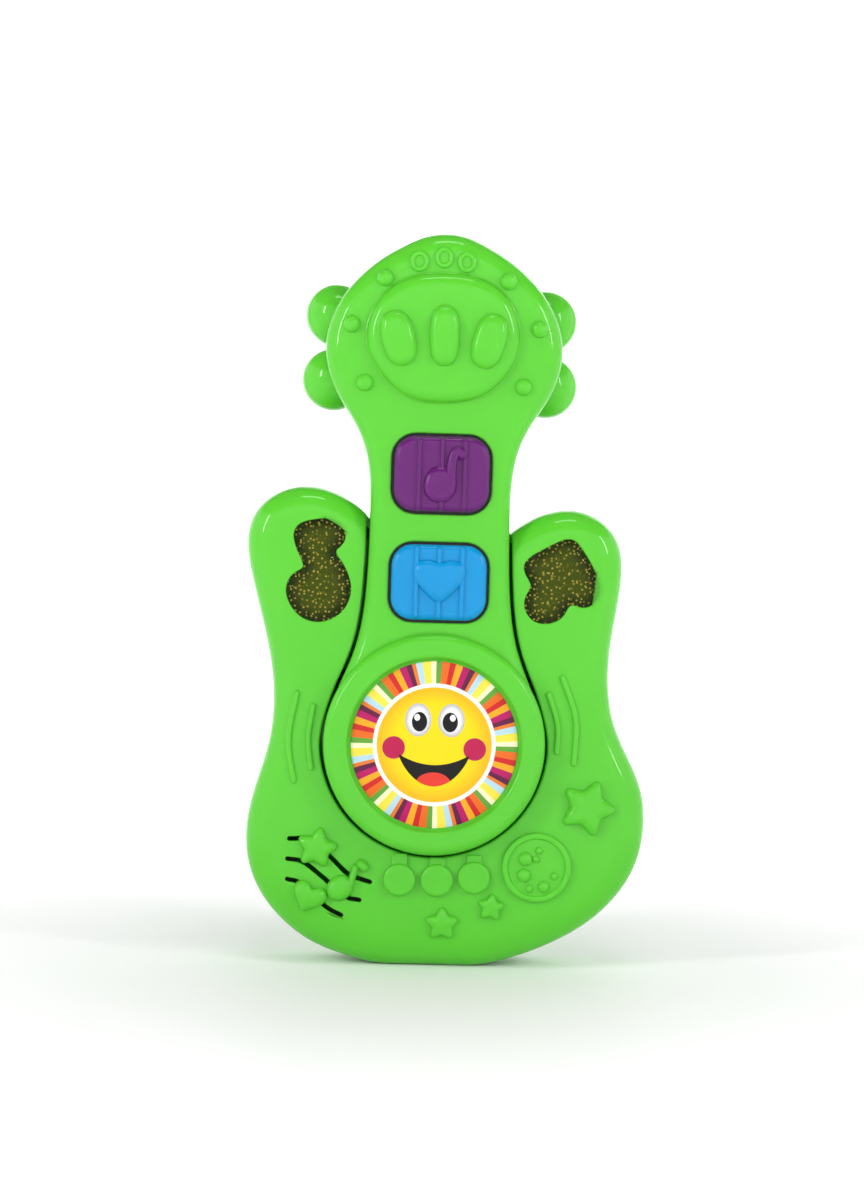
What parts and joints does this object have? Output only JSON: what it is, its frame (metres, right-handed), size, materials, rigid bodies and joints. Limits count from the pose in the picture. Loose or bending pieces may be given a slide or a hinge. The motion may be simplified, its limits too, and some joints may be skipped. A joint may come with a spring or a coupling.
{
  "type": "toy electric guitar",
  "caption": "Child's hand-held toy electric guitar in glossy plastic with a round printed face, press keys on the neck, glitter windows, speaker slots and tuning balls on the head.",
  "frame": {"origin": "middle of the small flat at the foot of the body, on the neck's centre line", "axes": "+Z from the body up to the head, -Y out of the front face, +X to the viewer's right"},
  "size_m": [0.1331, 0.043, 0.24],
  "materials": {
    "green_body_front": "glossy moulded plastic",
    "green_neck_panel": "glossy moulded plastic",
    "green_back": "glossy moulded plastic",
    "green_door": "glossy moulded plastic",
    "printed_label": "printed vinyl, glossy",
    "smoky_lens": "clear tinted plastic",
    "gold_glitter": "glitter sheet",
    "purple_key": "glossy moulded plastic",
    "blue_key": "glossy moulded plastic",
    "silicone": "soft translucent rubber",
    "board": "solder mask over fibre board",
    "epoxy": "black epoxy",
    "capacitor_sleeve": "shrink sleeve",
    "ribbon": "flat cable",
    "speaker_steel": "plated",
    "speaker_paper": "pressed paper",
    "magnet": "sintered",
    "led_epoxy": "clear epoxy",
    "cell_wrap": "printed wrap",
    "contact_metal": "nickel plated",
    "red_lead": "insulated wire",
    "black_lead": "insulated wire",
    "switch_can": "plated",
    "black_knob": "satin",
    "screw_steel": "zinc plated"
  },
  "bodies": {
    "shell": {"body_front_shell": "green_body_front", "neck_front_panel": "green_neck_panel", "back_shell": "green_back", "face_label": "printed_label", "lens_left": "smoky_lens", "lens_right": "smoky_lens", "glitter_left": "gold_glitter", "glitter_right": "gold_glitter", "dome_purple": "silicone", "dome_blue": "silicone", "button_board": "board", "main_board": "board", "chip_blob": "epoxy", "capacitor": "capacitor_sleeve", "button_ribbon": "ribbon", "speaker_basket": "speaker_steel", "speaker_clamp": "speaker_steel", "speaker_cone": "speaker_paper", "speaker_magnet": "magnet", "led_left": "led_epoxy", "led_right": "led_epoxy", "battery_cell_upper": "cell_wrap", "battery_cell_lower": "cell_wrap", "contact_plates": "contact_metal", "contact_springs": "contact_metal", "led_leads": "contact_metal", "speaker_leads": "red_lead", "battery_leads": "black_lead", "switch_body": "switch_can", "shell_screws": "screw_steel", "panel_screws": "screw_steel", "board_screws": "screw_steel"},
    "key_purple": {"button_purple": "purple_key"},
    "key_blue": {"button_blue": "blue_key"},
    "door": {"battery_door": "green_door", "door_screw": "screw_steel"},
    "switch": {"switch_knob": "black_knob"}
  },
  "joints": [
    {"name": "key_purple_press", "type": "slide", "parent": "shell", "child": "key_purple", "axis": [0, 1, 0], "range_m": [0, 0.002], "stiffness_N_per_m": 400, "deforming": ["dome_purple"]},
    {"name": "key_blue_press", "type": "slide", "parent": "shell", "child": "key_blue", "axis": [0, 1, 0], "range_m": [0, 0.002], "stiffness_N_per_m": 400, "deforming": ["dome_blue"]},
    {"name": "door_hinge", "type": "hinge", "parent": "shell", "child": "door", "pos_m": [0, 0.018, 0.08815], "axis": [1, 0, 0], "range_deg": [0, 75]},
    {"name": "switch_slide", "type": "slide", "parent": "shell", "child": "switch", "axis": [1, 0, 0], "range_m": [0, 0.004]}
  ]
}
